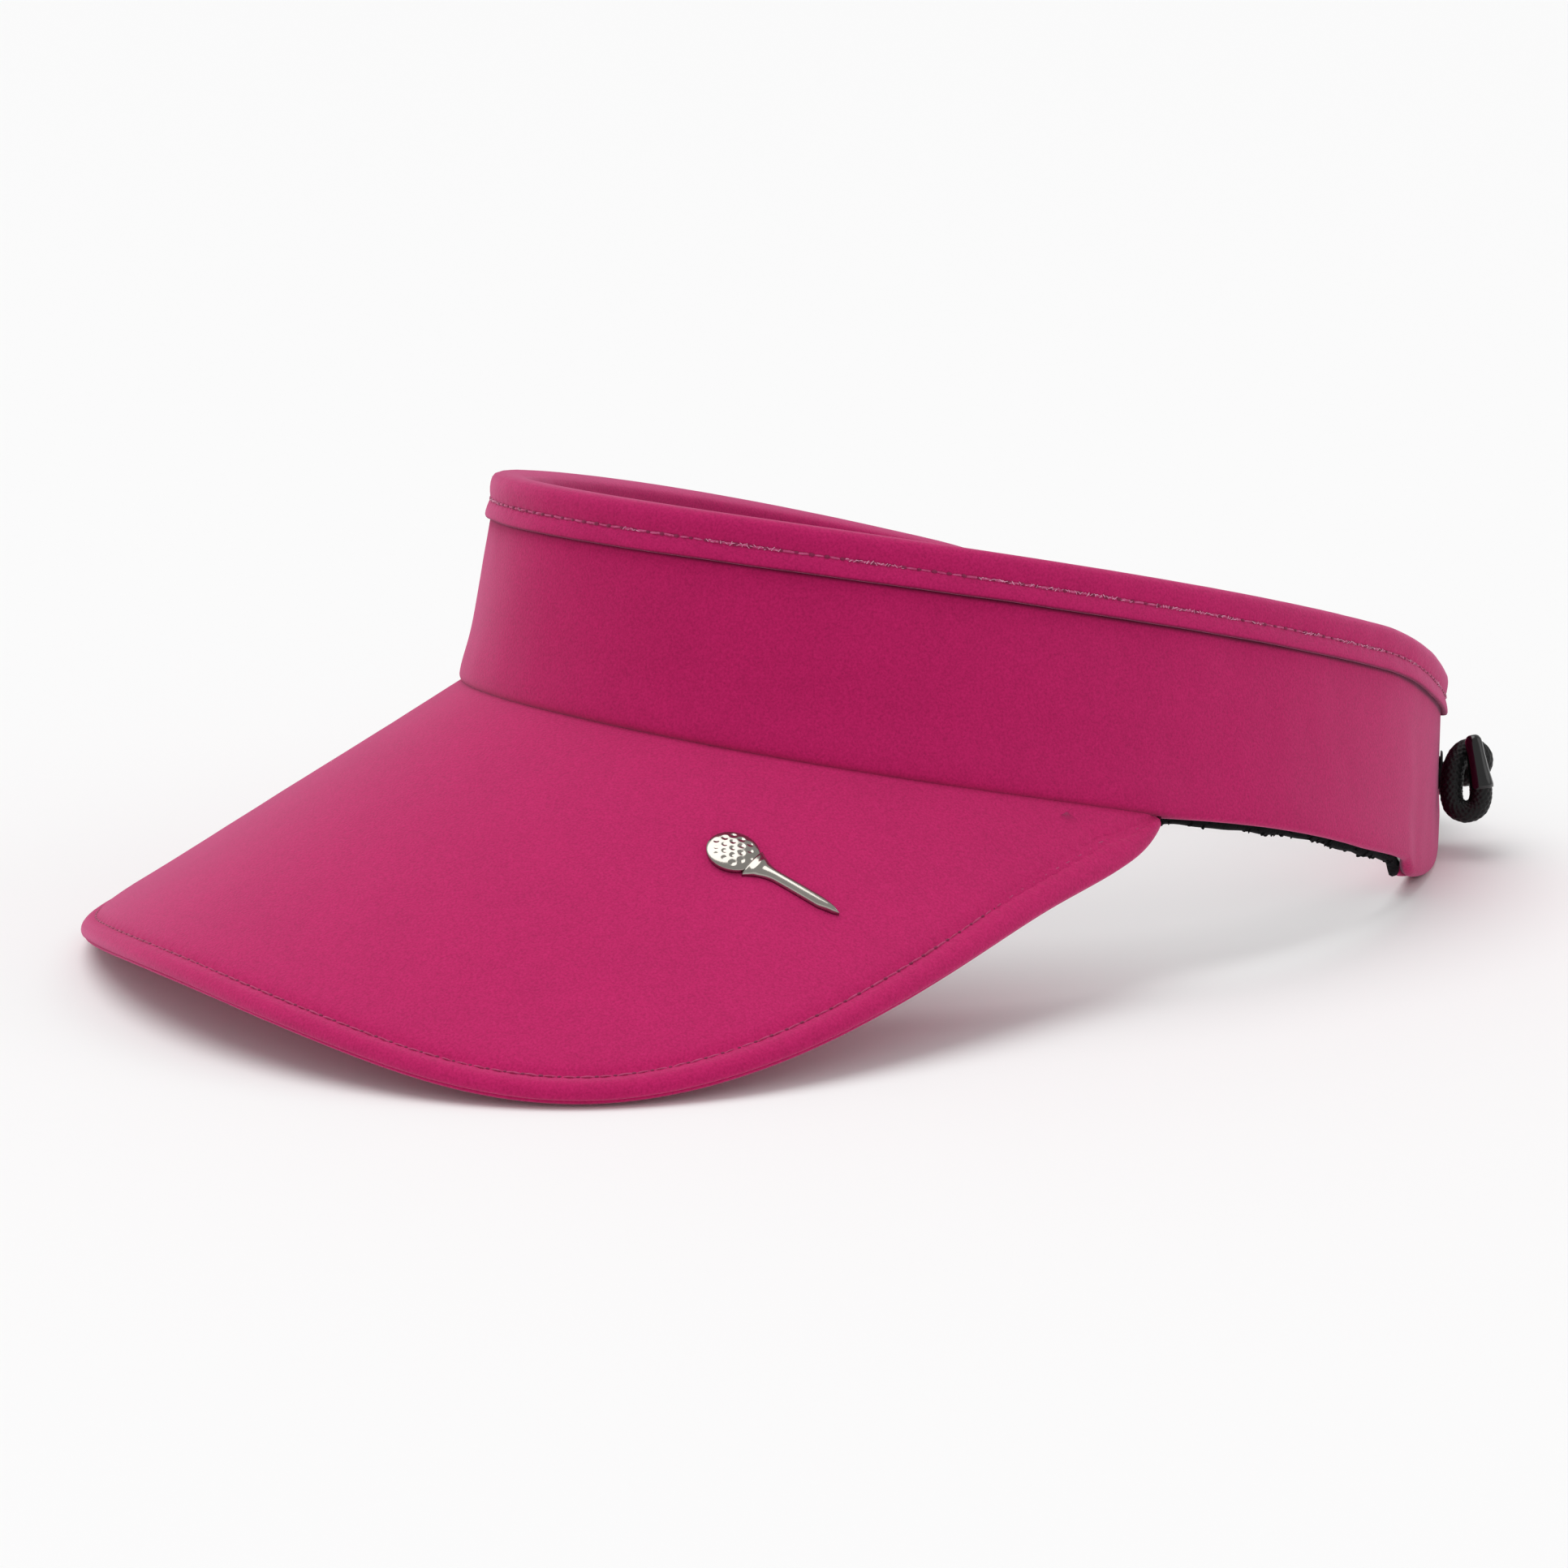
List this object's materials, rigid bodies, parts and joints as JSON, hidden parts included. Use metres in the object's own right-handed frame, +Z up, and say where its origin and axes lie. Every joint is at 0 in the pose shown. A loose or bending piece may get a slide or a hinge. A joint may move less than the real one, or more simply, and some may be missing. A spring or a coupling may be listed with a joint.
{
  "type": "sun visor",
  "caption": "Open-top sun visor: curved fabric-covered brim, padded head band with terry sweatband and bound rim, coiled elastic cord closing the back.",
  "frame": {"origin": "centre of the footprint, on the table that the visor rests on", "axes": "+Z up from the table, front of the brim towards -Y, wearer's left towards +X"},
  "size_m": [0.183, 0.2686, 0.0845],
  "materials": {
    "brim_fabric": "matt pink woven fabric with a peach-skin nap",
    "brim_board": "stiff foam board",
    "band_fabric": "matt pink woven fabric with a peach-skin nap",
    "binding_fabric": "matt pink folded binding",
    "interlining": "white stiffening felt",
    "terry": "black terry towelling",
    "badge_nickel": "polished nickel",
    "pin_steel": "plain",
    "eyelet_metal": "black lacquer",
    "braided_cord": "black braided elastic cord",
    "aglet_plastic": "glossy black"
  },
  "bodies": {
    "front": {"brim_top_cover": "brim_fabric", "brim_board": "brim_board", "brim_bottom_cover": "brim_fabric", "band_shell_front": "band_fabric", "interlining_front": "interlining", "sweatband_front": "terry", "top_binding_front": "binding_fabric", "badge": "badge_nickel", "badge_pin_1": "pin_steel", "badge_pin_2": "pin_steel"},
    "left_arm": {"band_shell_left": "band_fabric", "interlining_left": "interlining", "sweatband_left": "terry", "top_binding_left": "binding_fabric", "end_facing_left": "band_fabric", "eyelet_left": "eyelet_metal", "cord_tail_left": "braided_cord", "coil_left": "braided_cord", "aglet_left": "aglet_plastic"},
    "right_arm": {"band_shell_right": "band_fabric", "interlining_right": "interlining", "sweatband_right": "terry", "top_binding_right": "binding_fabric", "end_facing_right": "band_fabric", "eyelet_right": "eyelet_metal", "cord_tail_right": "braided_cord", "coil_right": "braided_cord", "aglet_right": "aglet_plastic"}
  },
  "joints": [
    {"name": "left_arm_flex", "type": "hinge", "parent": "front", "child": "left_arm", "pos_m": [0.07696, 0.03231, 0.04509], "axis": [0.2447, -0.2134, -0.9458], "range_deg": [0, 8], "stiffness_Nm_per_rad": 0.8, "deforming": ["coil_left"]},
    {"name": "right_arm_flex", "type": "hinge", "parent": "front", "child": "right_arm", "pos_m": [-0.07696, 0.03231, 0.04509], "axis": [0.2447, 0.2134, 0.9458], "range_deg": [0, 8], "stiffness_Nm_per_rad": 0.8, "deforming": ["coil_right"]}
  ]
}
